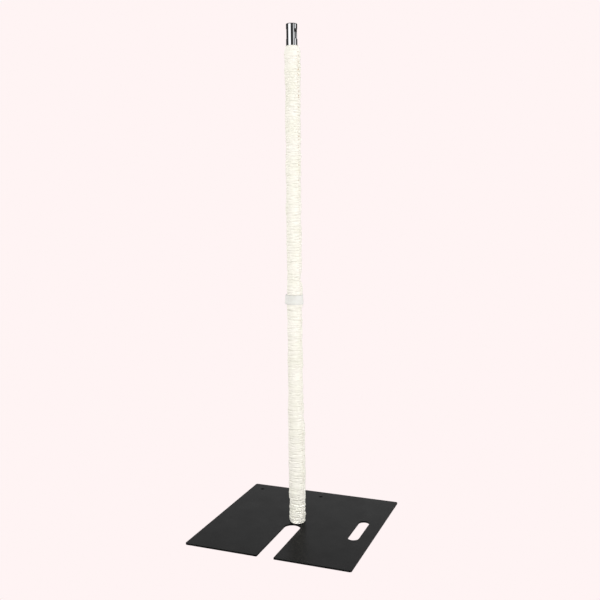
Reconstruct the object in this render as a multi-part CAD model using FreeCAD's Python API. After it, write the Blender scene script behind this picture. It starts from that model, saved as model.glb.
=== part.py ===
"""Telescoping upright on a square slotted base plate, dressed in two gathered fabric sleeves.

Millimetres, +Z up. The origin is the centre of the base plate on the floor plane.
-Y is the front, where the stacking slot opens. +X is the side with the hand-hold.
"""

import FreeCAD
import Part
import math
import os

V = FreeCAD.Vector
os.makedirs("parts", exist_ok=True)

# ---------------------------------------------------------------- driving dimensions
PLATE = 500.0  # side of the square base plate
PLATE_T = 5.0
PLATE_R = 6.0  # plan radius of the plate's corners
EDGE_R = 0.6  # rounding of the plate's top and bottom edges

SLOT_W = 50.0  # stacking slot, open at the front edge
SLOT_END_Y = -47.0  # centre of the slot's round inner end
SLOT_LIP_R = 3.0

HOLD_X = 194.5  # hand-hold, a stadium parallel to the right edge
HOLD_W = 32.5
HOLD_L = 140.0

ANCHOR_D = 6.6  # two anchor holes along the rear edge
ANCHOR_XY = [(-210.0, 210.0), (0.0, 210.0)]

PIN_R = 17.2  # spigot that the upright stands on
PIN_H = 120.0
PIN_NOSE = 5.0
BOLT_R = 4.0  # M8 countersunk bolt from below
BOLT_HEAD_R = 8.0
BOLT_SUNK = 0.3
BOLT_TIP_Z = 29.0

WASHER_T = 2.0
WASHER_RI = 17.5
WASHER_RO = 19.0

OUT_R = 19.0  # lower tube
OUT_RI = 17.5
OUT_Z0 = PLATE_T + WASHER_T
OUT_Z1 = 700.0

BUSH_Z0 = 650.0  # flanged guide bush in the lower tube's mouth
BUSH_RI = 16.25
BUSH_FLANGE = 2.5
PRESS = 0.02  # gap drawn in a press fit

COLLAR_Z0 = 672.0
COLLAR_Z1 = 700.0
COLLAR_R = 22.5

SCREW_Z = 686.0  # clamp screw, on the -X side
SCREW_R = 3.0
SCREW_CLEAR = 0.1
PAD_X = -16.05
PAD_L = 1.4
KNOB_X0 = -22.9
KNOB_X1 = -26.4
KNOB_R = 7.0
KNOB_FLUTES = 16
SCREW_TRAVEL = 1.0

IN_R = 16.0  # upper, chromed tube
IN_RI = 14.5
IN_Z0 = 570.0
IN_Z1 = 1468.0
FLARE_R = 17.0
FLARE_H = 8.0

WIN_Z0 = 1428.0  # crossbar windows through the -X and +X walls
WIN_Z1 = 1456.0
WIN_W = 21.6
WIN_CORNER = 2.0

PLUG_T = 2.6
PLUG_SHANK = 10.0

GUIDE_Z0 = IN_Z0 + FLARE_H + 0.3
GUIDE_Z1 = BUSH_Z0 - 0.1
GUIDE_R = 17.2
GUIDE_RI = 16.1

# sleeves: radius against height, as mean values of the gathered cloth
LOW_RI = 19.35
LOW_PROFILE = [
    (15.0, 22.6),
    (30.0, 23.7),
    (70.0, 22.7),
    (100.0, 24.6),
    (125.0, 26.4),
    (180.0, 27.0),
    (280.0, 27.0),
    (340.0, 25.6),
    (400.0, 23.9),
    (520.0, 24.2),
    (600.0, 23.6),
    (671.0, 24.4),
]
HEM_Z0 = 5.6
CUFF_Z0 = 671.5
CUFF_Z1 = 702.8
CUFF_RI = 22.8
CUFF_RO = 24.8
UP_RI = 16.35
UP_PROFILE = [
    (703.2, 23.2),
    (716.0, 23.6),
    (900.0, 23.6),
    (1100.0, 23.6),
    (1300.0, 24.0),
    (1376.0, 24.6),
    (1390.0, 23.6),
    (1394.8, 22.4),
]
TOPCUFF_Z0 = 1395.0
TOPCUFF_Z1 = 1409.0
TAPE_W = 7.0
TAPE_T = 0.8
SEAM_DEG = -24.0  # where the gathered seam runs, from +X towards the front


# ---------------------------------------------------------------- helpers
def cyl(r, z0, z1):
    return Part.makeCylinder(r, z1 - z0, V(0, 0, z0))


def ring(ri, ro, z0, z1):
    return cyl(ro, z0, z1).cut(cyl(ri, z0 - 1, z1 + 1))


def xcyl(r, x0, x1, z):
    """Cylinder along X from x0 to x1, at height z."""
    lo, hi = min(x0, x1), max(x0, x1)
    return Part.makeCylinder(r, hi - lo, V(lo, 0, z), V(1, 0, 0))


def turned(points):
    """Solid of revolution about Z from (r, z) points of a closed outline."""
    pts = [V(r, 0, z) for r, z in points]
    face = Part.Face(Part.makePolygon(pts + [pts[0]]))
    s = face.revolve(V(0, 0, 0), V(0, 0, 1), 360)
    return s if s.Volume > 0 else s.reversed()


def vertical_edges(shape, spots, tol=0.2):
    """Edges parallel to Z that stand at the given (x, y) places."""
    found = []
    for e in shape.Edges:
        if len(e.Vertexes) != 2:
            continue
        a, b = e.Vertexes[0].Point, e.Vertexes[1].Point
        if abs(a.x - b.x) > 1e-6 or abs(a.y - b.y) > 1e-6:
            continue
        if any(abs(a.x - x) < tol and abs(a.y - y) < tol for x, y in spots):
            found.append(e)
    return found


def save(name, *solids):
    shape = solids[0] if len(solids) == 1 else Part.makeCompound(list(solids))
    for s in shape.Solids:
        if not s.isValid() or s.Volume <= 0:
            raise ValueError(name + ": bad solid")
    if not shape.Solids:
        raise ValueError(name + ": no solid")
    if len(shape.Solids) == 1 and len(solids) == 1:
        shape = shape.Solids[0]
    shape.exportStep("parts/" + name + ".step")
    b = shape.BoundBox
    print(
        "%-20s %d solid(s)  %9.1f mm3  z %.2f..%.2f"
        % (name, len(shape.Solids), shape.Volume, b.ZMin, b.ZMax)
    )
    return shape


# ---------------------------------------------------------------- base plate
h = PLATE / 2
plate = Part.makeBox(PLATE, PLATE, PLATE_T, V(-h, -h, 0))
plate = plate.makeFillet(
    PLATE_R, vertical_edges(plate, [(-h, -h), (h, -h), (-h, h), (h, h)])
)
slot = Part.makeBox(
    SLOT_W, SLOT_END_Y + h + 10, PLATE_T + 2, V(-SLOT_W / 2, -h - 10, -1)
)
slot = slot.fuse(
    Part.makeCylinder(SLOT_W / 2, PLATE_T + 2, V(0, SLOT_END_Y, -1))
).removeSplitter()
plate = plate.cut(slot)
plate = plate.makeFillet(
    SLOT_LIP_R, vertical_edges(plate, [(-SLOT_W / 2, -h), (SLOT_W / 2, -h)])
)
half = HOLD_L / 2 - HOLD_W / 2
hold = Part.makeBox(HOLD_W, 2 * half, PLATE_T + 2, V(HOLD_X - HOLD_W / 2, -half, -1))
for y in (-half, half):
    hold = hold.fuse(Part.makeCylinder(HOLD_W / 2, PLATE_T + 2, V(HOLD_X, y, -1)))
plate = plate.cut(hold.removeSplitter())
rounded = [
    e
    for e in plate.Edges
    if abs(e.BoundBox.ZMax - e.BoundBox.ZMin) < 1e-6
    and (abs(e.BoundBox.ZMin) < 1e-6 or abs(e.BoundBox.ZMin - PLATE_T) < 1e-6)
]
plate = plate.makeFillet(EDGE_R, rounded)
for x, y in ANCHOR_XY:
    plate = plate.cut(Part.makeCylinder(ANCHOR_D / 2, PLATE_T + 2, V(x, y, -1)))
sink = turned(
    [
        (0, -1),
        (BOLT_HEAD_R + 0.1, -1),
        (BOLT_HEAD_R + 0.1, BOLT_SUNK),
        (BOLT_R + 0.1, BOLT_SUNK + BOLT_HEAD_R - BOLT_R),
        (BOLT_R + 0.1, PLATE_T + 1),
        (0, PLATE_T + 1),
    ]
)
plate = plate.cut(sink)
save("base_plate", plate)

# ---------------------------------------------------------------- spigot and its bolt
pin = turned(
    [
        (0, PLATE_T),
        (PIN_R, PLATE_T),
        (PIN_R, PLATE_T + PIN_H - PIN_NOSE),
        (PIN_R - 2.5, PLATE_T + PIN_H),
        (0, PLATE_T + PIN_H),
    ]
)
pin = pin.cut(cyl(BOLT_R + PRESS, PLATE_T - 1, BOLT_TIP_Z + 4))
save("base_pin", pin)

bolt = turned(
    [
        (0, BOLT_SUNK),
        (BOLT_HEAD_R, BOLT_SUNK),
        (BOLT_R, BOLT_SUNK + BOLT_HEAD_R - BOLT_R),
        (BOLT_R, BOLT_TIP_Z - 1),
        (BOLT_R - 1, BOLT_TIP_Z),
        (0, BOLT_TIP_Z),
    ]
)
key = Part.Face(
    Part.makePolygon(
        [
            V(
                2.9 * math.cos(math.radians(60 * k)),
                2.9 * math.sin(math.radians(60 * k)),
                0,
            )
            for k in range(7)
        ]
    )
).extrude(V(0, 0, 3.2))
save("pin_bolt", bolt.cut(key))

save("thrust_washer", ring(WASHER_RI, WASHER_RO, PLATE_T, PLATE_T + WASHER_T))

# ---------------------------------------------------------------- lower tube and its mouth
clear_hole = xcyl(SCREW_R + SCREW_CLEAR, -30, -15, SCREW_Z)
outer = ring(OUT_RI, OUT_R, OUT_Z0, OUT_Z1).cut(clear_hole)
save("outer_tube", outer)

bush = turned(
    [
        (BUSH_RI, BUSH_Z0),
        (OUT_RI - PRESS, BUSH_Z0),
        (OUT_RI - PRESS, OUT_Z1),
        (OUT_R, OUT_Z1),
        (OUT_R, OUT_Z1 + BUSH_FLANGE),
        (BUSH_RI + 0.8, OUT_Z1 + BUSH_FLANGE),
        (BUSH_RI, OUT_Z1 + BUSH_FLANGE - 0.8),
    ]
).cut(clear_hole)
save("mouth_bush", bush)

collar = turned(
    [
        (OUT_R + PRESS, COLLAR_Z0),
        (COLLAR_R - 1.2, COLLAR_Z0),
        (COLLAR_R, COLLAR_Z0 + 1.2),
        (COLLAR_R, COLLAR_Z1 - 1.2),
        (COLLAR_R - 1.2, COLLAR_Z1),
        (OUT_R + PRESS, COLLAR_Z1),
    ]
).cut(clear_hole)
SET_R = 2.5
grubs = []
for sy in (-1, 1):
    hole = Part.makeCylinder(SET_R + PRESS, 10, V(0, sy * 17.0, SCREW_Z), V(0, sy, 0))
    collar = collar.cut(hole)
    grub = Part.makeCylinder(SET_R, 3.1, V(0, sy * 19.1, SCREW_Z), V(0, sy, 0))
    grub = grub.cut(
        Part.makeCylinder(1.2, 2.0, V(0, sy * 20.6, SCREW_Z), V(0, sy, 0))
    )
    grubs.append(grub)
save("lock_collar", collar)
save("collar_set_screws", *grubs)

# ---------------------------------------------------------------- clamp screw, drawn tight
pad = xcyl(SCREW_R - 0.3, PAD_X, PAD_X - PAD_L, SCREW_Z)
pad = pad.common(ring(IN_R + 0.05, 30, SCREW_Z - 10, SCREW_Z + 10))
save("pressure_pad", pad)
save("lock_screw", xcyl(SCREW_R, PAD_X - PAD_L, KNOB_X0, SCREW_Z))
knob = xcyl(KNOB_R, KNOB_X0, KNOB_X1, SCREW_Z)
knob = knob.makeFillet(
    1.0, [e for e in knob.Edges if abs(e.BoundBox.XMax - KNOB_X1) < 1e-3]
)
for k in range(KNOB_FLUTES):
    a = 2 * math.pi * k / KNOB_FLUTES
    knob = knob.cut(
        Part.makeCylinder(
            0.7,
            10,
            V(
                KNOB_X1 - 2,
                (KNOB_R + 0.3) * math.cos(a),
                SCREW_Z + (KNOB_R + 0.3) * math.sin(a),
            ),
            V(1, 0, 0),
        )
    )
save("lock_knob", knob)

# ---------------------------------------------------------------- upper tube
inner = turned(
    [
        (IN_RI, IN_Z0),
        (FLARE_R, IN_Z0),
        (FLARE_R, IN_Z0 + FLARE_H - 1.0),
        (IN_R, IN_Z0 + FLARE_H),
        (IN_R, IN_Z1),
        (IN_RI, IN_Z1),
    ]
)
window = Part.makeBox(
    60, WIN_W, WIN_Z1 - WIN_Z0, V(-30, -WIN_W / 2, WIN_Z0)
)
window = window.makeFillet(
    WIN_CORNER,
    [
        e
        for e in window.Edges
        if abs(e.BoundBox.YMax - e.BoundBox.YMin) < 1e-6
        and abs(e.BoundBox.ZMax - e.BoundBox.ZMin) < 1e-6
    ],
)
save("inner_tube", inner.cut(window))

plug = turned(
    [
        (0, IN_Z1),
        (IN_RI - 3.0, IN_Z1),
        (IN_RI - 3.0, IN_Z1 - PLUG_SHANK),
        (IN_RI - PRESS - 0.6, IN_Z1 - PLUG_SHANK),
        (IN_RI - PRESS, IN_Z1 - PLUG_SHANK + 2.0),
        (IN_RI - PRESS, IN_Z1),
        (IN_R, IN_Z1),
        (IN_R, IN_Z1 + 1.0),
        (IN_R - 0.5, IN_Z1 + 1.8),
        (IN_R - 1.6, IN_Z1 + 2.3),
        (IN_R - 4.0, IN_Z1 + PLUG_T),
        (0, IN_Z1 + PLUG_T),
    ]
)
save("top_plug", plug)

guide = turned(
    [
        (GUIDE_RI, GUIDE_Z0),
        (GUIDE_R, GUIDE_Z0),
        (GUIDE_R, GUIDE_Z1),
        (GUIDE_RI, GUIDE_Z1),
    ]
)
save("guide_bush", guide)


# ---------------------------------------------------------------- sleeves
def tape(ri, z0, z1):
    """Flat elastic tape down the seam, drawn as part of a thin ring."""
    strip = Part.makeBox(10, TAPE_W, z1 - z0, V(ri - 2, -TAPE_W / 2, z0))
    return ring(ri, ri + TAPE_T, z0, z1).common(strip).rotated(V(0, 0, 0), V(0, 0, 1), SEAM_DEG)


def tape_groove(ri, z0, z1):
    strip = Part.makeBox(10, TAPE_W + 0.4, z1 - z0 + 2, V(ri - 2, -TAPE_W / 2 - 0.2, z0 - 1))
    groove = ring(ri - 1, ri + TAPE_T + 0.15, z0 - 1, z1 + 1).common(strip)
    return groove.rotated(V(0, 0, 0), V(0, 0, 1), SEAM_DEG)


def sleeve(ri, profile):
    pts = [(ri, profile[0][0])] + [(r, z) for z, r in profile] + [(ri, profile[-1][0])]
    return turned(pts)


low = sleeve(LOW_RI, LOW_PROFILE)
lz0, lz1 = LOW_PROFILE[0][0], LOW_PROFILE[-1][0]
save("lower_sleeve", low.cut(tape_groove(LOW_RI, lz0, lz1)))
save("lower_seam_tape", tape(LOW_RI + 0.05, lz0 + 1, lz1 - 1))

hem = turned(
    [
        (LOW_RI, HEM_Z0),
        (21.2, HEM_Z0),
        (22.4, HEM_Z0 + 1.6),
        (22.6, 14.8),
        (LOW_RI, 14.8),
    ]
).cut(ring(LOW_RI - 1, LOW_RI + 1.2, 7.4, 13.6))
save("lower_sleeve_hem", hem)
save("lower_hem_elastic", ring(LOW_RI + 0.05, LOW_RI + 1.05, 7.6, 13.4))

cuff = turned(
    [
        (CUFF_RI, CUFF_Z0),
        (CUFF_RO - 0.4, CUFF_Z0),
        (CUFF_RO + 0.6, CUFF_Z0 + 4.0),
        (CUFF_RO, CUFF_Z0 + 12.0),
        (CUFF_RO - 0.4, CUFF_Z1 - 1.0),
        (CUFF_RO - 1.0, CUFF_Z1),
        (CUFF_RI, CUFF_Z1),
    ]
)
bump = xcyl(9.6, -20.0, KNOB_X1 - SCREW_TRAVEL - 2.0, SCREW_Z)
bump = bump.makeFillet(
    2.0,
    [
        e
        for e in bump.Edges
        if abs(e.BoundBox.XMin - (KNOB_X1 - SCREW_TRAVEL - 2.0)) < 1e-3
        and abs(e.BoundBox.XMax - e.BoundBox.XMin) < 1e-3
    ],
)
cuff = cuff.fuse(bump).cut(cyl(CUFF_RI, CUFF_Z0 - 5, CUFF_Z1 + 5))
cuff = cuff.cut(xcyl(KNOB_R + 0.5, -15.0, KNOB_X1 - SCREW_TRAVEL - 0.4, SCREW_Z))
cuff = cuff.cut(ring(CUFF_RI - 1, CUFF_RI + 0.95, 694.8, 701.8))
save("lower_sleeve_cuff", cuff)
save("lower_cuff_elastic", ring(CUFF_RI + 0.05, CUFF_RI + 0.85, 695.0, 701.6))

up = sleeve(UP_RI, UP_PROFILE)
uz0, uz1 = UP_PROFILE[0][0], UP_PROFILE[-1][0]
save("upper_sleeve", up.cut(tape_groove(UP_RI, uz0, uz1)))
save("upper_seam_tape", tape(UP_RI + 0.05, uz0 + 1, uz1 - 1))

top = turned(
    [
        (UP_RI, TOPCUFF_Z0),
        (22.2, TOPCUFF_Z0),
        (20.2, TOPCUFF_Z0 + 7.0),
        (19.2, TOPCUFF_Z1 - 1.0),
        (18.4, TOPCUFF_Z1),
        (UP_RI, TOPCUFF_Z1),
    ]
).cut(ring(UP_RI - 1, UP_RI + 1.15, 1400.2, 1407.2))
save("upper_sleeve_cuff", top)
save("upper_cuff_elastic", ring(UP_RI + 0.05, UP_RI + 1.0, 1400.4, 1407.0))
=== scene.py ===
"""Looks of the dressed telescoping pole stand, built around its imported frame.

Metres, +Z up, the same frame as the CAD: -Y is the front, +X the hand-hold's side.
"""

import math

import bpy
import numpy as np
from mathutils import Matrix, Vector


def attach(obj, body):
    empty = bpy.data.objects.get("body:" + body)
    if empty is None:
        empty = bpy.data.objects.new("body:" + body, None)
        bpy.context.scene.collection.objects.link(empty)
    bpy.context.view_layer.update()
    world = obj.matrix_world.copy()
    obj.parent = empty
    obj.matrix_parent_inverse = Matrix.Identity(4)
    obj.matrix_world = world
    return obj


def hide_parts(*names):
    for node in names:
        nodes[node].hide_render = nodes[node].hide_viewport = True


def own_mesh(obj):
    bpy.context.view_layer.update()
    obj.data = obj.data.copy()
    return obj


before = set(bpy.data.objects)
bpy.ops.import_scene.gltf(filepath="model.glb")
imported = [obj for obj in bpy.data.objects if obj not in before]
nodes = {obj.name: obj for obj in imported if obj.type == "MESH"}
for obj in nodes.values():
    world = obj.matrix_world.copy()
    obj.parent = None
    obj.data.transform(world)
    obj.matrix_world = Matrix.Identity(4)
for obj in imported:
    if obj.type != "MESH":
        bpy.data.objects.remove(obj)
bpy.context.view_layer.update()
scene = bpy.context.scene

# ------------------------------------------------------------------ camera
AZ, EL, ROLL = 21.204, 7.504, -0.653  # degrees
F_OVER_SIDE = 780.74 / 600
CAM_AT = Vector((0.83887, -2.11703, 0.98551))

a, e, r = (math.radians(x) for x in (AZ, EL, ROLL))
back = Vector((math.sin(a) * math.cos(e), -math.cos(a) * math.cos(e), math.sin(e)))
right = (-back).cross(Vector((0, 0, 1))).normalized()
up = right.cross(-back)
right, up = (
    math.cos(r) * right + math.sin(r) * up,
    -math.sin(r) * right + math.cos(r) * up,
)
cam = bpy.data.objects.new("camera", bpy.data.cameras.new("camera"))
scene.collection.objects.link(cam)
turn = Matrix((right, up, back)).transposed().to_4x4()
cam.matrix_world = Matrix.Translation(CAM_AT) @ turn
cam.data.sensor_width = 36
cam.data.lens = 36 * F_OVER_SIDE
cam.data.shift_x, cam.data.shift_y = -0.5 / 600, 0.5 / 600
cam.data.clip_start, cam.data.clip_end = 0.05, 60
scene.camera = cam

scene.view_settings.view_transform = "Standard"
scene.view_settings.look = "None"
PALE = (1.0, 0.9047, 0.9047, 1.0)  # the backdrop's colour, linear


# ------------------------------------------------------------------ noise
def perlin(x, y, z, seed):
    """Gradient noise, about -1 to 1, at arrays of points."""
    rng = np.random.RandomState(seed)
    perm = rng.permutation(256)
    perm = np.concatenate([perm, perm, perm[:2]])
    grad = rng.normal(size=(256, 3))
    grad /= np.linalg.norm(grad, axis=1)[:, None]
    xi, yi, zi = np.floor(x).astype(int), np.floor(y).astype(int), np.floor(z).astype(int)
    xf, yf, zf = x - xi, y - yi, z - zi
    xi, yi, zi = xi & 255, yi & 255, zi & 255

    def fade(t):
        return t * t * t * (t * (t * 6 - 15) + 10)

    u, v, w = fade(xf), fade(yf), fade(zf)

    def corner(i, j, k):
        g = grad[perm[perm[perm[xi + i] + yi + j] + zi + k]]
        return g[..., 0] * (xf - i) + g[..., 1] * (yf - j) + g[..., 2] * (zf - k)

    def mix(p, q, t):
        return p + t * (q - p)

    return 1.6 * mix(
        mix(
            mix(corner(0, 0, 0), corner(1, 0, 0), u),
            mix(corner(0, 1, 0), corner(1, 1, 0), u),
            v,
        ),
        mix(
            mix(corner(0, 0, 1), corner(1, 0, 1), u),
            mix(corner(0, 1, 1), corner(1, 1, 1), u),
            v,
        ),
        w,
    )


def around(theta, z, across, along, seed):
    """Noise on a sleeve of 24 mm radius: across and along are its cell sizes in mm."""
    return perlin(
        24 * np.cos(theta) / across,
        24 * np.sin(theta) / across,
        z / along + 7.3 * seed,
        seed,
    )


def smooth(x, lo, hi):
    t = np.clip((x - lo) / (hi - lo), 0, 1)
    return t * t * (3 - 2 * t)


def lobe(angle, centre, half):
    """1 at an angle, falling to 0 about half a lobe's width away, periodic."""
    d = (angle - centre + math.pi) % (2 * math.pi) - math.pi
    return np.exp(-((d / half) ** 2))


# ------------------------------------------------------------------ gathered cloth
RIGHT_DEG, SEAM_DEG = 21.2, -24.0
RIGHT, SEAM = math.radians(RIGHT_DEG), math.radians(SEAM_DEG)

# height in mm, mean radius in mm, how much further the cloth stands out at RIGHT than opposite
LOWER = [
    (5.6, 21.2, -0.5), (8, 22.8, -0.8), (12, 23.7, -1.0), (18, 24.1, -1.0), (30, 24.2, -0.9),
    (50, 23.9, -0.4), (62, 23.4, -0.6), (70, 22.5, -1.0), (80, 23.6, -1.1),
    (92, 24.8, -1.1), (110, 25.8, -1.0), (130, 26.7, -0.8), (170, 26.9, -0.5),
    (230, 26.7, -0.8), (290, 27.1, -0.7), (312, 26.7, -0.9), (328, 25.2, -1.9),
    (350, 25.4, -1.9), (372, 25.3, -1.9), (392, 24.4, -2.1), (412, 23.7, -2.2),
    (432, 23.9, -2.1), (455, 23.3, -2.4), (471, 22.8, -2.7), (488, 24.1, -2.1),
    (512, 24.6, -2.0), (532, 24.2, -1.5), (556, 23.7, -1.8), (572, 22.6, -2.4),
    (590, 23.9, -2.0), (612, 23.7, -2.2), (640, 23.7, -2.1), (652, 23.8, -2.0),
    (657, 23.3, -2.7), (663, 23.2, -2.9), (668, 24.9, -1.7), (672, 25.5, -1.3), (676, 25.4, -1.1),
]  # fmt: skip
UPPER = [
    (703.3, 25.2, -1.2), (706, 25.4, -1.3), (712, 25.0, -1.5), (724, 24.6, -1.3), (736, 23.6, -1.8),
    (746, 21.6, -2.8), (754, 21.4, -2.6), (764, 22.6, -1.6), (780, 23.2, -1.2),
    (808, 23.6, -0.3), (830, 23.5, -1.8), (850, 24.2, -1.6), (880, 23.8, -1.3),
    (910, 23.0, -1.5), (930, 22.6, -2.2), (952, 24.6, -1.8), (975, 24.0, -1.5),
    (1008, 23.4, -0.8), (1030, 22.3, -1.2), (1052, 24.4, -0.6), (1090, 23.7, -1.2),
    (1110, 23.8, 0.2), (1130, 22.3, -0.3), (1152, 24.1, 0.0), (1200, 24.0, -0.4),
    (1240, 23.6, 0.0), (1268, 23.5, 1.6), (1290, 23.0, 1.3), (1312, 24.5, 0.2),
    (1340, 24.8, 0.4), (1372, 24.6, 0.5), (1387, 24.4, 0.6), (1394, 23.4, 0.6),
    (1398, 22.0, 0.3), (1403, 20.4, 0.0), (1408, 19.4, -0.1), (1409.5, 18.6, 0.0),
]  # fmt: skip


def folds(theta, z, seed, coarse):
    """Height of the first gathers in mm, before the cloth settles, over theta and z in mm."""
    wander = 4.0 * around(theta, z, 26, 24, seed) + 1.6 * around(theta, z, 12, 12, seed + 1)
    slant = 3.0 * np.sin(theta + 2.2 * around(theta * 0, z, 9, 60, seed + 2))
    zz = z + wander + slant
    big = np.abs(around(theta, zz, 22, 10.5 * coarse, seed + 3)) ** 0.8
    mid = np.abs(around(theta, zz + 3, 13, 6.2 * coarse, seed + 4)) ** 0.85
    fine = around(theta, zz, 7, 3.6, seed + 5)
    share = smooth(around(theta, z, 34, 30, seed + 6), -0.5, 0.5)
    h = 2.3 * big * (0.55 + 0.6 * share) + 1.5 * mid * (1.15 - 0.6 * share) + 0.22 * fine
    # at the seam the cloth is drawn into short, deep tucks
    near = lobe(theta, SEAM, 0.42)
    tuck = np.abs(around(theta, z + 0.4 * wander, 22, 4.6, seed + 7)) ** 0.7
    return 0.8 * (h * (1 - 0.45 * near) + near * (1.9 * tuck - 1.0) - 1.1)


def blur(g, times):
    """Evens a periodic grid of heights, rows by columns."""
    for _ in range(times):
        side = (np.roll(g, 1, 1) + np.roll(g, -1, 1)) / 2
        pad = np.vstack([g[:1], g, g[-1:]])
        g = 0.5 * g + 0.25 * side + 0.125 * (pad[:-2] + pad[2:])
    return g


def soften(h, rows, cols, times):
    return blur(h.reshape(rows, cols), times).ravel()


def settle(X, rest, hoop, least, goal, seam_at, fixed, steps=26, passes=4, bend=0.10, slack=0.22):
    """Lets a gathered tube of cloth find its folds: a position-based cloth solver in mm.

    X is rows x columns x 3. rest is each row gap's length along the cloth, longer than the
    gap it has to fit in, so the cloth buckles. hoop is each row's length between columns.
    The cloth keeps off the pole (least), its rows keep near the mean radius goal, the column
    seam_at[0] is held by the gathering tape at seam_at[1], and rows in fixed stay put.
    """
    rows, cols = X.shape[:2]
    X = X.astype(np.float32)
    first, speed = X.copy(), np.zeros_like(X)
    rest = rest.astype(np.float32)[:, None, None]
    hoop = hoop.astype(np.float32)[:, None, None]
    cross = np.sqrt(rest**2 + hoop[:-1] ** 2)
    stay = fixed[:, None, None].astype(np.float32)
    column, held = seam_at

    def pull(p, q, length, stretch, squeeze):
        d = q - p
        size = np.sqrt((d * d).sum(-1, keepdims=True)) + 1e-6
        over = (size - length) / size
        return d * (np.where(over > 0, stretch * over, squeeze * over) * 0.5)

    for _ in range(steps):
        before = X.copy()
        X = X + 0.92 * speed
        X[..., 2] -= 0.003
        for _ in range(passes):
            for odd in (0, 1):
                p, q = X[odd : rows - 1 : 2], X[odd + 1 : rows : 2]
                n = min(len(p), len(q))
                d = pull(p[:n], q[:n], rest[odd : rows - 1 : 2][:n], 0.9, 0.9)
                p[:n] += d
                q[:n] -= d
            d = pull(X[:, 0::2], X[:, 1::2], hoop, 0.9, slack)
            X[:, 0::2] += d
            X[:, 1::2] -= d
            nxt = np.concatenate([X[:, 2::2], X[:, :1]], 1)
            d = pull(X[:, 1::2], nxt, hoop, 0.9, slack)
            X[:, 1::2] += d
            X[:, 2::2] -= d[:, :-1]
            X[:, :1] -= d[:, -1:]
            for turn in (-1, 1):
                d = pull(X[:-1], np.roll(X, turn, 1)[1:], cross, 0.12, 0.03)
                X[:-1] += d
                X[1:] -= np.roll(d, -turn, 1)
            for k in range(4):
                p, q = X[k : rows - 2 : 4], X[k + 2 : rows : 4]
                n = min(len(p), len(q))
                d = pull(p[:n], q[:n], 2 * rest[k : rows - 2 : 4][:n], 0.0, bend)
                p[:n] += d
                q[:n] -= d
            side = (np.roll(X, 1, 1) + np.roll(X, -1, 1)) / 2
            r_here = np.sqrt((X[..., :2] ** 2).sum(-1))
            r_side = np.sqrt((side[..., :2] ** 2).sum(-1)) / math.cos(2 * math.pi / cols)
            r_new = r_here + 0.07 * (r_side - r_here)
            r_new += 0.02 * (goal[:, None] - r_here.mean(1, keepdims=True))
            r_new = np.maximum(r_new, least)
            X[..., :2] *= (r_new / r_here)[..., None]
            X[..., 2] += 0.07 * (side[..., 2] - X[..., 2])
            X[:, column] += 0.5 * (held - X[:, column])
            X += stay * (first - X)
        speed = np.clip(X - before, -0.3, 0.3)
    return X.astype(float)


def blur3(grid):
    """One light pass of smoothing over a rows x columns x 3 grid."""
    side = (np.roll(grid, 1, 1) + np.roll(grid, -1, 1)) / 2
    out = 0.7 * grid + 0.3 * side
    out[1:-1] = 0.6 * out[1:-1] + 0.2 * (out[:-2] + out[2:])
    return out


def resample(grid, count):
    """Catmull-Rom interpolation of a rows x ... grid to count rows."""
    n = len(grid)
    t = np.linspace(0, n - 1, count)
    i = np.clip(t.astype(int), 0, n - 2)
    f = (t - i).reshape(-1, *([1] * (grid.ndim - 1)))
    p0, p1 = grid[np.clip(i - 1, 0, n - 1)], grid[i]
    p2, p3 = grid[i + 1], grid[np.clip(i + 2, 0, n - 1)]
    return 0.5 * (
        2 * p1
        + (p2 - p0) * f
        + (2 * p0 - 5 * p1 + 4 * p2 - p3) * f**2
        + (3 * p1 - p0 - 3 * p2 + p3) * f**3
    )


def tube_mesh(name, points, rows, cols, wrap=True):
    """A mesh of a grid of points (rows by cols), wrapped round."""
    i = np.arange(rows - 1)[:, None] * cols
    j = np.arange(cols if wrap else cols - 1)[None, :]
    k = (j + 1) % cols
    quads = np.stack([i + j, i + k, i + cols + k, i + cols + j], axis=-1).reshape(-1, 4)
    mesh = bpy.data.meshes.new(name)
    mesh.vertices.add(len(points))
    mesh.vertices.foreach_set("co", points.astype(np.float32).ravel())
    mesh.loops.add(quads.size)
    mesh.loops.foreach_set("vertex_index", quads.astype(np.int32).ravel())
    mesh.polygons.add(len(quads))
    mesh.polygons.foreach_set("loop_start", np.arange(0, quads.size, 4, dtype=np.int32))
    mesh.polygons.foreach_set("use_smooth", np.ones(len(quads), bool))
    mesh.update(calc_edges=True)
    mesh.validate()
    obj = bpy.data.objects.new(name, mesh)
    scene.collection.objects.link(obj)
    return obj


def attribute(obj, name, values):
    kind = "FLOAT" if values.ndim == 1 else "FLOAT_VECTOR"
    at = obj.data.attributes.new(name, kind, "POINT")
    at.data.foreach_set(
        "value" if kind == "FLOAT" else "vector", values.astype(np.float32).ravel()
    )


def area_of(obj):
    return sum(p.area for p in obj.data.polygons)


def thicken(obj, thickness, offset=-1.0):
    m = obj.modifiers.new("thickness", "SOLIDIFY")
    m.thickness, m.offset, m.use_even_offset, m.use_rim = thickness, offset, False, True


def round_from_back(theta):
    """Millimetres round a sleeve of 26 mm radius, counted from the side away from the front."""
    return 26.0 * ((theta - math.radians(111.6)) % (2 * math.pi))


COLS, ROWS, FINE_ROWS = 64, 540, 775


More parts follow.
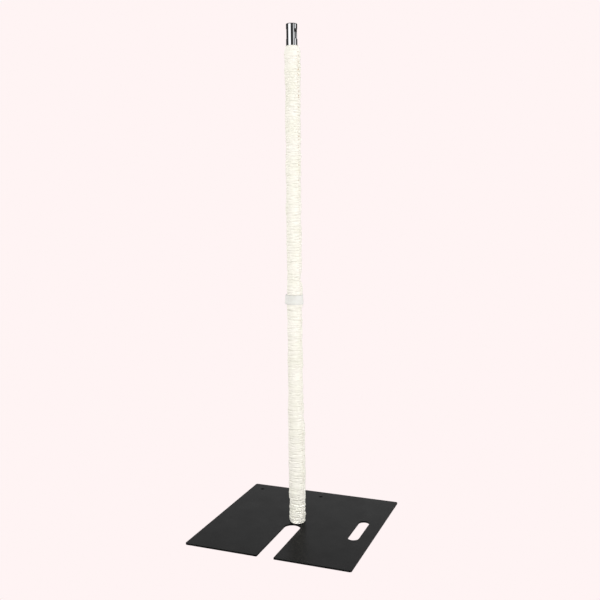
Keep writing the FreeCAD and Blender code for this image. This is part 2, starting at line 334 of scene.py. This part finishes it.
def gathered(name, table, seed, coarse, least, extra, firm, dress, seam_speck):
    """A gathered sleeve of cloth, settled. extra(z) is the cloth's length over the height it
    is gathered into, firm(z) says which rows are sewn fast, dress(theta, z, h) shapes the
    first folds. Returns the object, its radii, heights and the seam's column."""
    heights = np.array([t[0] for t in table])
    z_row = np.linspace(heights[0], heights[-1], ROWS)
    theta_row = np.arange(COLS) / COLS * 2 * math.pi
    z, theta = np.meshgrid(z_row, theta_row, indexing="ij")
    mean = np.interp(z_row, heights, [t[1] for t in table])
    lean = np.interp(z_row, heights, [t[2] for t in table]) + 1.1
    # the table's radii are to the folds' crests
    mean = mean - 1.7 * smooth(z_row, 80, 125) * (1 - smooth(z_row, 1378, 1394))
    for _ in range(5):
        for line in (mean, lean):
            line[1:-1] = 0.5 * line[1:-1] + 0.25 * (line[:-2] + line[2:])
    h = dress(theta, z, folds(theta, z, seed, coarse))
    clear, least = least, least(z_row)[:, None]
    start = np.maximum(mean[:, None] + h, least + 0.3)
    grid = np.stack([start * np.cos(theta), start * np.sin(theta), z], -1)
    fixed = firm(z_row)
    column = int(round((SEAM % (2 * math.pi)) / (2 * math.pi) * COLS)) % COLS
    seam_r = np.maximum(mean - 1.1, least[:, 0] + 0.3)
    held = np.stack(
        [
            seam_r * math.cos(theta_row[column]),
            seam_r * math.sin(theta_row[column]),
            z_row,
        ],
        -1,
    )
    gap = z_row[1] - z_row[0]
    longer = extra((z_row[1:] + z_row[:-1]) / 2)
    goal = np.maximum(mean, least[:, 0] + 0.6)
    grid = settle(
        grid,
        gap * longer,
        2 * math.pi * (goal + 0.9) / COLS,
        np.float32(least),
        goal,
        (column, held.astype(np.float32)),
        fixed,
    )
    # the cloth's own place along its length, which the weave follows
    along = np.concatenate([[0], np.cumsum(gap * longer)])
    grid = resample(blur3(grid), FINE_ROWS)
    along = resample(along, FINE_ROWS)
    z_fine = np.linspace(z_row[0], z_row[-1], FINE_ROWS)
    theta = np.arctan2(grid[..., 1], grid[..., 0])
    radius = np.hypot(grid[..., 0], grid[..., 1])
    high = radius - blur(radius, 60)
    # crests flatten against each other and the valleys between them are narrow
    radius = radius - 0.45 * np.maximum(high + 0.2, 0) - 0.35 * np.maximum(-high - 0.35, 0)
    radius = radius + np.interp(z_fine, z_row, lean)[:, None] * np.cos(theta - RIGHT)
    bulge = around(theta, grid[..., 2] + 5 * np.sin(theta), 34, 15, seed + 20)
    loose = 1 - np.interp(z_fine, z_row, fixed.astype(float))
    radius = radius + (1.2 + 0.7 * lobe(theta, RIGHT, 0.7)) * bulge * blur(
        loose[:, None] + 0 * theta, 12
    )
    least = clear(grid[..., 2])
    radius = np.where(
        radius - least > 0.8, radius, least + 0.8 * np.exp(np.minimum(radius - least - 0.8, 0))
    )
    points = np.stack([radius * np.cos(theta), radius * np.sin(theta), grid[..., 2]], -1)
    points[..., 2] = np.clip(points[..., 2], heights[0], heights[-1])
    obj = tube_mesh(name, points.reshape(-1, 3) / 1000, FINE_ROWS, COLS)
    # fold depth, which the cloth material turns into painted shade in the valleys
    attribute(obj, "depth", np.clip((high + 1.0) / 2.2, 0, 1).ravel())
    where = np.stack(
        [
            np.broadcast_to(round_from_back(theta_row)[None], theta.shape),
            np.broadcast_to(along[:, None], theta.shape),
            0 * theta,
        ],
        -1,
    )
    attribute(obj, "weave_at", where.reshape(-1, 3) / 1000)
    up_z = points[..., 2]
    fewer = smooth(up_z, 703, 706) * (1 - smooth(up_z, 980, 1060))
    attribute(obj, "pinch", (seam_speck * (1 - 0.7 * fewer)).ravel())
    length = np.linalg.norm(np.diff(points, axis=0), axis=2).sum(0).mean()
    print(name, "cloth %.4f m2, %.3f m along" % (area_of(obj), length / 1000),
          "radius %.2f to %.2f" % (radius.min(), radius.max()))
    return obj, radius, points[..., 2].mean(1), column


def dress_lower(theta, z, h):
    # big soft folds near the foot, a flat turned hem, stress wrinkles under the cuff
    foot = 1 - smooth(z, 70, 115)
    zz = z + 7 * around(theta, z, 26, 40, 61) + 4 * np.sin(theta + 1.0)
    large = np.abs(around(theta, zz, 30, 17, 62)) ** 0.8
    h = h * (1 - 0.55 * foot) + foot * (3.7 * large - 1.5)
    top = smooth(z, 585, 625)
    d = (theta - math.radians(180) + math.pi) % (2 * math.pi) - math.pi
    zz = z + 9.5 * np.abs(d) * smooth(z, 590, 640)
    streak = np.abs(around(theta, zz + 2 * around(theta, z, 22, 18, 64), 32, 9.5, 63)) ** 0.8
    h = h * (1 - 0.5 * top) + top * (1.7 * streak - 0.7)
    return h * smooth(z, 6, 12) * (1 - smooth(z, 668, 674))


def extra_lower(z):
    quiet = smooth(z, 118, 150) * (1 - smooth(z, 300, 345))
    ends = (1 - smooth(z, 7, 14)) + smooth(z, 664, 674)
    return 1.13 - 0.02 * quiet + 0.08 * (1 - smooth(z, 60, 110)) - 0.11 * ends


def dress_upper(theta, z, h):
    pinch = np.exp(-(((z - 749) / 9) ** 2)) * lobe(theta, RIGHT - 0.2, 0.9)
    h = (h - 1.6 * pinch) * (1 - smooth(z, 1386, 1394))
    puckers = 0.28 * np.cos(21 * theta + 2 * np.sin(3 * theta)) + 0.2 * around(theta, z, 6, 12, 71)
    return (h + smooth(z, 1388, 1400) * puckers) * smooth(z, 703, 709)


def extra_upper(z):
    return 1.125 - 0.12 * smooth(z, 1384, 1394) - 0.10 * (1 - smooth(z, 704, 710))


lower, lower_r, lower_z, seam_column = gathered(
    "lower_sleeve_cloth", LOWER, 11, 0.62,
    lambda z: 19.7 + 3.35 * smooth(z, 665, 671), extra_lower,
    lambda z: (z < 7.5) | (z > 673), dress_lower, 0.35,
)  # fmt: skip
upper, upper_r, upper_z, seam_column = gathered(
    "upper_sleeve_cloth", UPPER, 31, 0.62,
    lambda z: 17.1 + 0 * z, extra_upper,
    lambda z: (z < 704.5) | (z > 1394), dress_upper, 0.95,
)  # fmt: skip
for obj in (lower, upper):
    thicken(obj, 0.00045)


# ------------------------------------------------------------------ the folded cuff over the clamp
def cuff_radius(theta, z):
    """The cuff is stretched over the collar, and stands out over the clamp's knob."""
    base = np.interp(
        z,
        [675.5, 677, 679.5, 682, 683.5, 688, 695, 701, 702.8],
        [24.6, 25.5, 25.8, 25.5, 24.8, 24.4, 24.15, 24.1, 23.9],
    )
    d = np.abs(theta % (2 * math.pi) - math.pi)
    reach = np.interp(
        z,
        [675, 680, 684, 687, 691, 695, 699, 703],
        [29.3, 29.5, 28.9, 28.2, 28.2, 28.4, 28.3, 26.4],
    )
    half = 7.8
    corner = np.hypot(reach, half)
    a1 = np.arctan2(half, reach)
    a2 = a1 + np.arccos(np.clip(base / corner, 0, 1))
    flat = reach / np.cos(np.minimum(d, a1))
    slope = base / np.cos(np.clip(a2 - d, 0, 1.2))
    tent = np.where(d < a1, flat, np.where(d < a2, slope, base))
    return np.maximum(tent, base)


rows, cols = 90, 176
z = np.repeat(np.linspace(675.6, 702.8, rows), cols)
theta = np.tile(np.arange(cols) / cols * 2 * math.pi, rows)
cuff_r = cuff_radius(theta, z)
cuff_r = soften(cuff_r, rows, cols, 10)
h = 0.34 * around(theta, z + 3 * np.sin(theta), 16, 9, 81) + 0.14 * around(theta, z, 7, 4, 82)
crease = np.abs(around(theta, z + 4 * np.sin(theta * 1.0 + 0.6), 40, 5.0, 83)) ** 0.8
h += 0.55 * (crease - 0.5) * (1 - smooth(z, 684, 690))
h = soften(h, rows, cols, 1)
cuff_r = cuff_r + np.maximum(h, -0.12 - 0.3 * (1 - smooth(z, 682, 685)))
points = np.stack([cuff_r * np.cos(theta), cuff_r * np.sin(theta), z], 1) / 1000
cuff = tube_mesh("folded_cuff", points, rows, cols)
attribute(cuff, "depth", np.clip(0.85 + 0 * z, 0, 1))
attribute(cuff, "pinch", 0 * z)
attribute(cuff, "weave_at", np.stack([round_from_back(theta), z, 0 * z], 1) / 1000)
thicken(cuff, 0.0006)
cuff_area = area_of(cuff)
print("cuff area %.5f m2" % cuff_area)


# ------------------------------------------------------------------ the ruched tapes inside the seams
def seam_tape(name, radius, heights, z0, z1, least):
    rows, cols = 260, 6
    z = np.linspace(z0, z1, rows)
    c = seam_column
    inside = np.minimum(np.minimum(radius[:, c - 1], radius[:, c]), radius[:, (c + 1) % COLS])
    r_at = np.interp(z, heights, inside) - 1.4
    r_at = np.maximum(r_at + 0.35 * np.sin(2 * math.pi * z / 5.3), least)
    off = np.linspace(-3.3, 3.3, cols)
    rr = np.repeat(r_at, cols)
    th = SEAM + np.tile(off, rows) / rr
    pts = np.stack([rr * np.cos(th), rr * np.sin(th), np.repeat(z, cols)], 1) / 1000
    obj = tube_mesh(name, pts, rows, cols, wrap=False)
    attribute(obj, "depth", np.full(len(pts), 0.8))
    attribute(obj, "pinch", np.zeros(len(pts)))
    attribute(obj, "weave_at", np.stack([np.tile(off, rows), np.repeat(z, cols), np.zeros(len(pts))], 1) / 1000)
    thicken(obj, 0.0005)
    return obj


lower_tape = seam_tape("lower_ruched_tape", lower_r, lower_z, 17, 668, 19.6)
upper_tape = seam_tape("upper_ruched_tape", upper_r, upper_z, 705, 1392, 16.9)


# ------------------------------------------------------------------ stitches
def stitch_ring(name, radius_of, z_mm, count, length=2.4, thick=0.21):
    """A row of short thread stitches round a hem, one mesh."""
    verts, faces = [], []
    sides, cuts = 6, 5
    for n in range(count):
        mid = 2 * math.pi * (n + 0.5) / count
        base = len(verts)
        for c in range(cuts):
            t = c / (cuts - 1)
            r0 = radius_of(mid)
            th = mid + (t - 0.5) * length / r0
            lift = 0.10 + 0.22 * math.sin(math.pi * t)
            rr = radius_of(th) + lift
            w = thick * (0.55 + 0.45 * math.sin(math.pi * t))
            for s in range(sides):
                b = 2 * math.pi * s / sides
                verts.append(
                    (
                        (rr + w * math.cos(b)) * math.cos(th) / 1000,
                        (rr + w * math.cos(b)) * math.sin(th) / 1000,
                        (z_mm + w * math.sin(b)) / 1000,
                    )
                )
        for c in range(cuts - 1):
            for s in range(sides):
                i0, i1 = base + c * sides + s, base + c * sides + (s + 1) % sides
                faces.append((i0, i1, i1 + sides, i0 + sides))
        faces.append(tuple(base + s for s in reversed(range(sides))))
        faces.append(tuple(base + (cuts - 1) * sides + s for s in range(sides)))
    mesh = bpy.data.meshes.new(name)
    mesh.from_pydata(verts, [], faces)
    mesh.polygons.foreach_set("use_smooth", np.ones(len(mesh.polygons), bool))
    mesh.update()
    obj = bpy.data.objects.new(name, mesh)
    scene.collection.objects.link(obj)
    return obj


def row_radius(grid, heights, z_mm):
    k = int(np.argmin(np.abs(heights - z_mm)))
    ring = grid[k]

    def at(th):
        u = (th % (2 * math.pi)) / (2 * math.pi) * len(ring)
        i = int(u) % len(ring)
        return ring[i] + (u - int(u)) * (ring[(i + 1) % len(ring)] - ring[i])

    return at


hem_stitches = stitch_ring("hem_stitches", row_radius(lower_r, lower_z, 14.0), 14.0, 44)
top_stitches = stitch_ring("top_hem_stitches", row_radius(upper_r, upper_z, 1397.0), 1397.0, 40)
cuff_grid, cuff_z = cuff_r.reshape(rows, cols), z.reshape(rows, cols)[:, 0]
cuff_stitches = stitch_ring("cuff_stitches", row_radius(cuff_grid, cuff_z, 684.6), 684.6, 50)


# ------------------------------------------------------------------ materials
def material(name, color, rough, metal=0.0):
    m = bpy.data.materials.new(name)
    m.use_nodes = True
    tree = m.node_tree
    shader = tree.nodes["Principled BSDF"]
    shader.inputs["Base Color"].default_value = (*color, 1)
    shader.inputs["Roughness"].default_value = rough
    shader.inputs["Metallic"].default_value = metal
    return m, tree, shader


def node(tree, kind, **inputs):
    n = tree.nodes.new(kind)
    for k, v in inputs.items():
        if k in n.inputs:
            n.inputs[k].default_value = v
    return n


def ramp(tree, source, stops):
    n = tree.nodes.new("ShaderNodeValToRGB")
    n.color_ramp.elements[0].position, n.color_ramp.elements[0].color = stops[0]
    n.color_ramp.elements[1].position, n.color_ramp.elements[1].color = stops[-1]
    for p, c in stops[1:-1]:
        n.color_ramp.elements.new(p).color = c
    tree.links.new(source, n.inputs["Fac"])
    return n


def bump(tree, shader, source, strength, distance, previous=None):
    b = node(tree, "ShaderNodeBump", Strength=strength, Distance=distance)
    tree.links.new(source, b.inputs["Height"])
    if previous is not None:
        tree.links.new(previous.outputs["Normal"], b.inputs["Normal"])
    tree.links.new(b.outputs["Normal"], shader.inputs["Normal"])
    return b


def grain(tree, scale, detail=3.0, rough=0.5, source=None):
    n = node(tree, "ShaderNodeTexNoise", Scale=scale, Detail=detail, Roughness=rough)
    if source is None:
        source = tree.nodes.new("ShaderNodeTexCoord").outputs["Object"]
    tree.links.new(source, n.inputs["Vector"])
    return n.outputs["Fac"]


def cloth_material(name, light, crease_shade, seam_speck):
    """Plain-woven cloth, with painted shade (darker and warmer) down in the folds, and brownish specks at the
    seam.
    """
    m, tree, shader = material(name, light, 0.82)
    shader.inputs["Sheen Weight"].default_value = 0.12
    shader.inputs["Sheen Roughness"].default_value = 0.5
    shader.inputs["Specular IOR Level"].default_value = 0.25
    depth = tree.nodes.new("ShaderNodeAttribute")
    depth.attribute_name = "depth"
    pinch = tree.nodes.new("ShaderNodeAttribute")
    pinch.attribute_name = "pinch"
    at = tree.nodes.new("ShaderNodeAttribute")
    at.attribute_name = "weave_at"
    # painted shade: the depth attribute colours the folds' valleys darker and warmer than the crests
    tone = ramp(
        tree,
        depth.outputs["Fac"],
        [
            (0.04, (*[q - 0.06 for q in crease_shade], 1)),
            (0.24, (*crease_shade, 1)),
            (0.40, (*light, 1)),
        ],
    )
    patch = grain(tree, 26, 4, 0.55)
    cloud = ramp(tree, patch, [(0.35, (0.955, 0.965, 0.93, 1)), (0.65, (1, 1, 1, 1))])
    mul = tree.nodes.new("ShaderNodeMix")
    mul.data_type, mul.blend_type = "RGBA", "MULTIPLY"
    mul.inputs["Factor"].default_value = 1.0
    tree.links.new(tone.outputs["Color"], mul.inputs[6])
    tree.links.new(cloud.outputs["Color"], mul.inputs[7])
    # short tan specks along the seam, and fainter ones at the left
    apart = tree.nodes.new("ShaderNodeSeparateXYZ")
    tree.links.new(at.outputs["Vector"], apart.inputs[0])
    specks = node(tree, "ShaderNodeTexNoise", Scale=165.0, Detail=1.0, Roughness=0.4)
    tree.links.new(at.outputs["Vector"], specks.inputs["Vector"])
    total = None
    for centre, share, width in ((0.1040, 1.0, 0.0027), (0.0470, 0.5, 0.0030)):
        off = tree.nodes.new("ShaderNodeMath")
        off.operation = "SUBTRACT"
        tree.links.new(apart.outputs["X"], off.inputs[0])
        off.inputs[1].default_value = centre
        far = tree.nodes.new("ShaderNodeMath")
        far.operation = "ABSOLUTE"
        tree.links.new(off.outputs[0], far.inputs[0])
        strip = ramp(
            tree, far.outputs[0], [(width * 0.4, (share,) * 3 + (1,)), (width, (0, 0, 0, 1))]
        )
        if total is None:
            total = strip.outputs["Color"]
        else:
            join = tree.nodes.new("ShaderNodeMath")
            join.operation = "MAXIMUM"
            tree.links.new(total, join.inputs[0])
            tree.links.new(strip.outputs["Color"], join.inputs[1])
            total = join.outputs[0]
    spots = ramp(tree, specks.outputs["Fac"], [(0.575, (0, 0, 0, 1)), (0.615, (1, 1, 1, 1))])
    amount = None
    for source in (spots.outputs["Color"], pinch.outputs["Fac"]):
        times = tree.nodes.new("ShaderNodeMath")
        times.operation = "MULTIPLY"
        tree.links.new(total if amount is None else amount, times.inputs[0])
        tree.links.new(source, times.inputs[1])
        amount = times.outputs[0]
    speck_mix = tree.nodes.new("ShaderNodeMix")
    speck_mix.data_type = "RGBA"
    tree.links.new(amount, speck_mix.inputs["Factor"])
    tree.links.new(mul.outputs[2], speck_mix.inputs[6])
    speck_mix.inputs[7].default_value = (*seam_speck, 1)
    tree.links.new(speck_mix.outputs[2], shader.inputs["Base Color"])
    warp = node(tree, "ShaderNodeTexWave", Scale=390.0, Distortion=0.6, Detail=1.0)
    warp.bands_direction = "X"
    weft = node(tree, "ShaderNodeTexWave", Scale=330.0, Distortion=0.6, Detail=1.0)
    weft.bands_direction = "Y"
    for w in (warp, weft):
        tree.links.new(at.outputs["Vector"], w.inputs["Vector"])
    weave = tree.nodes.new("ShaderNodeMath")
    weave.operation = "MULTIPLY"
    tree.links.new(warp.outputs["Fac"], weave.inputs[0])
    tree.links.new(weft.outputs["Fac"], weave.inputs[1])
    b1 = bump(tree, shader, weave.outputs[0], 0.18, 0.0001)
    crumple = grain(tree, 420, 3, 0.5)
    bump(tree, shader, crumple, 0.10, 0.0005, b1)
    return m


cloth = cloth_material("gathered_cloth", (0.880, 0.862, 0.800), (0.805, 0.788, 0.722), (0.40, 0.22, 0.09))
cuff_cloth = cloth_material("cuff_cloth", (0.75, 0.755, 0.735), (0.72, 0.72, 0.69), (0.6, 0.5, 0.4))
tape_cloth = cloth_material("tape_cloth", (0.84, 0.82, 0.76), (0.74, 0.71, 0.64), (0.6, 0.5, 0.4))

thread, tree, shader = material("thread", (0.88, 0.87, 0.82), 0.6)
shader.inputs["Sheen Weight"].default_value = 0.2
twist = node(tree, "ShaderNodeTexWave", Scale=900.0, Distortion=0.2)
tree.links.new(tree.nodes.new("ShaderNodeTexCoord").outputs["Object"], twist.inputs["Vector"])
bump(tree, shader, twist.outputs["Fac"], 0.4, 0.0001)

coat, tree, shader = material("black_powder_coat", (0.005, 0.005, 0.0052), 0.3)
shader.inputs["Specular IOR Level"].default_value = 0.035
mottle = grain(tree, 5.0, 5, 0.6)
tone = ramp(tree, mottle, [(0.3, (0.0042, 0.0042, 0.0043, 1)), (0.7, (0.0058, 0.0058, 0.006, 1))])
tree.links.new(tone.outputs["Color"], shader.inputs["Base Color"])
sheen = ramp(tree, grain(tree, 14.0, 6, 0.65), [(0.3, (0.27, 0.27, 0.27, 1)), (0.7, (0.34, 0.34, 0.34, 1))])
tree.links.new(sheen.outputs["Color"], shader.inputs["Roughness"])
# painted shade in the two anchor holes: no reflection within 3.9 mm of their centres, rising to the plate's own
# by 4.7 mm
place = tree.nodes.new("ShaderNodeNewGeometry")
nearest = None
for x, y in ((0.0, 0.21), (-0.21, 0.21)):
    away = node(tree, "ShaderNodeVectorMath")
    away.operation = "MULTIPLY"
    away.inputs[1].default_value = (1, 1, 0)
    tree.links.new(place.outputs["Position"], away.inputs[0])
    reach = node(tree, "ShaderNodeVectorMath")
    reach.operation = "DISTANCE"
    reach.inputs[1].default_value = (x, y, 0)
    tree.links.new(away.outputs["Vector"], reach.inputs[0])
    if nearest is None:
        nearest = reach.outputs["Value"]
    else:
        least_of = tree.nodes.new("ShaderNodeMath")
        least_of.operation = "MINIMUM"
        tree.links.new(nearest, least_of.inputs[0])
        tree.links.new(reach.outputs["Value"], least_of.inputs[1])
        nearest = least_of.outputs[0]
hole_shade = ramp(tree, nearest, [(0.0039, (0, 0, 0, 1)), (0.0047, (0.035, 0.035, 0.035, 1))])
tree.links.new(hole_shade.outputs["Color"], shader.inputs["Specular IOR Level"])
peel = grain(tree, 620.0, 3, 0.55)
b1 = bump(tree, shader, peel, 0.16, 0.0004)
bump(tree, shader, grain(tree, 60.0, 3, 0.5), 0.05, 0.002, b1)

chrome, tree, shader = material("polished_chrome", (0.80, 0.81, 0.825), 0.05, 1.0)
# painted shade inside the tube: base colour dark within 15 mm of the axis, on the bore's inner wall
place = tree.nodes.new("ShaderNodeNewGeometry")
flat = node(tree, "ShaderNodeVectorMath")
flat.operation = "MULTIPLY"
flat.inputs[1].default_value = (1, 1, 0)
tree.links.new(place.outputs["Position"], flat.inputs[0])
from_axis = node(tree, "ShaderNodeVectorMath")
from_axis.operation = "LENGTH"
tree.links.new(flat.outputs["Vector"], from_axis.inputs[0])
bore_shade = ramp(
    tree,
    from_axis.outputs["Value"],
    [(0.0150, (0.10, 0.10, 0.10, 1)), (0.0156, (0.80, 0.81, 0.825, 1))],
)
tree.links.new(bore_shade.outputs["Color"], shader.inputs["Base Color"])
haze = ramp(tree, grain(tree, 90.0, 5, 0.6), [(0.35, (0.035, 0.035, 0.035, 1)), (0.75, (0.085, 0.085, 0.085, 1))])
tree.links.new(haze.outputs["Color"], shader.inputs["Roughness"])
bump(tree, shader, grain(tree, 30.0, 2, 0.5), 0.04, 0.0006)


def moulded(name, color, rough, scale=700.0, strength=0.18, metal=0.0):
    m, tree, shader = material(name, color, rough, metal)
    vary = ramp(
        tree,
        grain(tree, 40.0, 4, 0.6),
        [(0.3, (*[c * 0.86 for c in color], 1)), (0.7, (*[min(1, c * 1.08) for c in color], 1))],
    )
    tree.links.new(vary.outputs["Color"], shader.inputs["Base Color"])
    bump(tree, shader, grain(tree, scale, 3, 0.5), strength, 0.0003)
    return m


black_plastic = moulded("black_plastic", (0.022, 0.022, 0.023), 0.34)
knob_plastic = moulded("knob_plastic", (0.028, 0.028, 0.030), 0.42, 520.0, 0.25)
nylon = moulded("white_nylon", (0.80, 0.79, 0.74), 0.45)
cast = moulded("cast_alloy", (0.60, 0.60, 0.62), 0.45, 300.0, 0.3, 1.0)
turned = moulded("turned_steel", (0.56, 0.56, 0.57), 0.3, 240.0, 0.12, 1.0)
zinc = moulded("zinc_plate", (0.60, 0.61, 0.64), 0.33, 160.0, 0.15, 1.0)
oxide = moulded("black_oxide", (0.06, 0.06, 0.062), 0.4, 400.0, 0.2, 1.0)


def dress(obj, mat):
    obj.data.materials.clear()
    obj.data.materials.append(mat)


for name, mat in {
    "base_plate": coat,
    "base_pin": turned,
    "pin_bolt": zinc,
    "thrust_washer": nylon,
    "outer_tube": zinc,
    "mouth_bush": black_plastic,
    "lock_collar": cast,
    "collar_set_screws": oxide,
    "pressure_pad": nylon,
    "lock_screw": zinc,
    "lock_knob": knob_plastic,
    "inner_tube": chrome,
    "top_plug": black_plastic,
    "guide_bush": black_plastic,
    "lower_hem_elastic": tape_cloth,
    "lower_cuff_elastic": tape_cloth,
    "upper_cuff_elastic": tape_cloth,
}.items():
    dress(nodes[name], mat)
for obj, mat in (
    (lower, cloth),
    (upper, cloth),
    (cuff, cuff_cloth),
    (lower_tape, tape_cloth),
    (upper_tape, tape_cloth),
    (hem_stitches, thread),
    (top_stitches, thread),
    (cuff_stitches, thread),
):
    dress(obj, mat)

# ------------------------------------------------------------------ which piece moves with what
for obj in (lower, cuff, lower_tape, hem_stitches, cuff_stitches):
    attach(obj, "lower_pole")
for obj in (upper, upper_tape, top_stitches):
    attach(obj, "upper_pole")
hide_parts("lower_sleeve", "lower_sleeve_hem")
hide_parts("lower_sleeve_cuff")
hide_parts("upper_sleeve", "upper_sleeve_cuff")
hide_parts("lower_seam_tape")
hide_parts("upper_seam_tape")

# ------------------------------------------------------------------ light and floor
world = bpy.data.worlds.new("studio")
scene.world = world
world.use_nodes = True
tree = world.node_tree
tree.nodes.clear()
out = tree.nodes.new("ShaderNodeOutputWorld")
path = tree.nodes.new("ShaderNodeLightPath")
seen = node(tree, "ShaderNodeBackground", Color=PALE, Strength=1.0)
soft = node(tree, "ShaderNodeBackground", Strength=1.0)
gloss = tree.nodes.new("ShaderNodeBackground")
coord = tree.nodes.new("ShaderNodeTexCoord")
split = tree.nodes.new("ShaderNodeSeparateXYZ")
tree.links.new(coord.outputs["Generated"], split.inputs[0])
sky = ramp(
    tree,
    split.outputs["Z"],
    [(0.0, (0.30, 0.29, 0.285, 1)), (0.25, (0.62, 0.615, 0.60, 1)), (1.0, (0.88, 0.875, 0.86, 1))],
)
tree.links.new(sky.outputs["Color"], soft.inputs["Color"])
angle = tree.nodes.new("ShaderNodeMath")
angle.operation = "ARCTAN2"
tree.links.new(split.outputs["Y"], angle.inputs[0])
tree.links.new(split.outputs["X"], angle.inputs[1])
# azimuth measured from the front right of the room, 0 to 1 once round
shift = tree.nodes.new("ShaderNodeMath")
shift.operation = "ADD"
shift.inputs[1].default_value = math.radians(68.4 + 180)
tree.links.new(angle.outputs[0], shift.inputs[0])
share = tree.nodes.new("ShaderNodeMath")
share.operation = "DIVIDE"
share.inputs[1].default_value = 2 * math.pi
tree.links.new(shift.outputs[0], share.inputs[0])
wrap = tree.nodes.new("ShaderNodeMath")
wrap.operation = "FRACT"
tree.links.new(share.outputs[0], wrap.inputs[0])
STRIPES = [
    (-180, 0.14), (-150, 0.10), (-113, 0.04), (-74, 0.035), (-66, 0.9), (-60, 1.5),
    (-24, 1.5), (-18, 0.05), (27, 0.035), (32, 0.75), (42, 0.75), (47, 0.13),
    (68, 0.13), (74, 0.95), (92, 0.95), (98, 0.03), (135, 0.03), (179.9, 0.14),
]  # fmt: skip
BACKDROP = [(-180, 1.6), (-158, 1.2), (-110, 0.9), (-60, 0.6), (60, 0.6), (110, 1.9), (158, 2.0), (179.9, 1.6)]


def round_the_room(stops):
    """A grey ramp of (degrees, brightness) round the room."""
    n = tree.nodes.new("ShaderNodeValToRGB")
    els = n.color_ramp.elements
    for k, (deg, value) in enumerate(stops):
        el = els[k] if k < 2 else els.new((deg + 180) / 360)
        el.position = (deg + 180) / 360
    for el, (deg, value) in zip(sorted(els, key=lambda x: x.position), stops):
        el.color = (value / 2, value / 2, value / 2, 1)
    tree.links.new(wrap.outputs[0], n.inputs["Fac"])
    return n


panels = round_the_room(STRIPES)
sweep = round_the_room(BACKDROP)
rise = ramp(
    tree,
    split.outputs["Z"],
    [(0.23, (0, 0, 0, 1)), (0.31, (1, 1, 1, 1)), (0.36, (1, 1, 1, 1)), (0.47, (0.75,) * 3 + (1,)), (1.0, (0.6,) * 3 + (1,))],
)
both = tree.nodes.new("ShaderNodeMix")
both.data_type = "RGBA"
tree.links.new(rise.outputs["Color"], both.inputs["Factor"])
tree.links.new(panels.outputs["Color"], both.inputs[6])
tree.links.new(sweep.outputs["Color"], both.inputs[7])
tree.links.new(both.outputs[2], gloss.inputs["Color"])
gloss.inputs["Strength"].default_value = 2.0
pick = tree.nodes.new("ShaderNodeMixShader")
tree.links.new(path.outputs["Is Glossy Ray"], pick.inputs["Fac"])
tree.links.new(soft.outputs[0], pick.inputs[1])
tree.links.new(gloss.outputs[0], pick.inputs[2])
pick2 = tree.nodes.new("ShaderNodeMixShader")
tree.links.new(path.outputs["Is Camera Ray"], pick2.inputs["Fac"])
tree.links.new(pick.outputs[0], pick2.inputs[1])
tree.links.new(seen.outputs[0], pick2.inputs[2])
tree.links.new(pick2.outputs[0], out.inputs["Surface"])


def softbox(name, at, aim, width, height, power, color=(1, 1, 1), spread=None):
    light = bpy.data.lights.new(name, "AREA")
    light.shape, light.size, light.size_y = "RECTANGLE", width, height
    light.energy, light.color = power, color
    obj = bpy.data.objects.new(name, light)
    scene.collection.objects.link(obj)
    obj.location = at
    obj.rotation_mode = "QUATERNION"
    obj.rotation_quaternion = (Vector(aim) - Vector(at)).to_track_quat("-Z", "Y")
    obj.visible_glossy = False
    if spread:
        light.spread = math.radians(spread)
    return obj


softbox("key", (0.1, -3.0, 2.1), (0, 0, 0.6), 2.4, 1.6, 24)
softbox("fill_right", (2.7, -0.9, 1.1), (0, 0, 0.5), 1.4, 2.2, 34)
softbox("fill_left", (-2.6, -1.1, 1.4), (0, 0, 0.65), 1.4, 2.2, 23)
softbox("low", (0.50, -0.95, 0.08), (0, 0, 0.02), 0.4, 0.16, 0.055, spread=30)

bpy.ops.mesh.primitive_plane_add(size=60, location=(0, 0, -0.0006))
floor = bpy.context.active_object
floor.name = "floor"
m = bpy.data.materials.new("pale_floor")
m.use_nodes = True
tree = m.node_tree
tree.nodes.clear()
out = tree.nodes.new("ShaderNodeOutputMaterial")
glow = node(tree, "ShaderNodeEmission", Color=PALE, Strength=1.0)
dull = node(tree, "ShaderNodeBsdfDiffuse", Color=(0.80, 0.76, 0.755, 1))
path = tree.nodes.new("ShaderNodeLightPath")
pick = tree.nodes.new("ShaderNodeMixShader")
tree.links.new(path.outputs["Is Camera Ray"], pick.inputs["Fac"])
tree.links.new(dull.outputs[0], pick.inputs[1])
tree.links.new(glow.outputs[0], pick.inputs[2])
tree.links.new(pick.outputs[0], out.inputs["Surface"])
floor.data.materials.append(m)

for obj in (upper, upper_tape):
    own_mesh(obj)
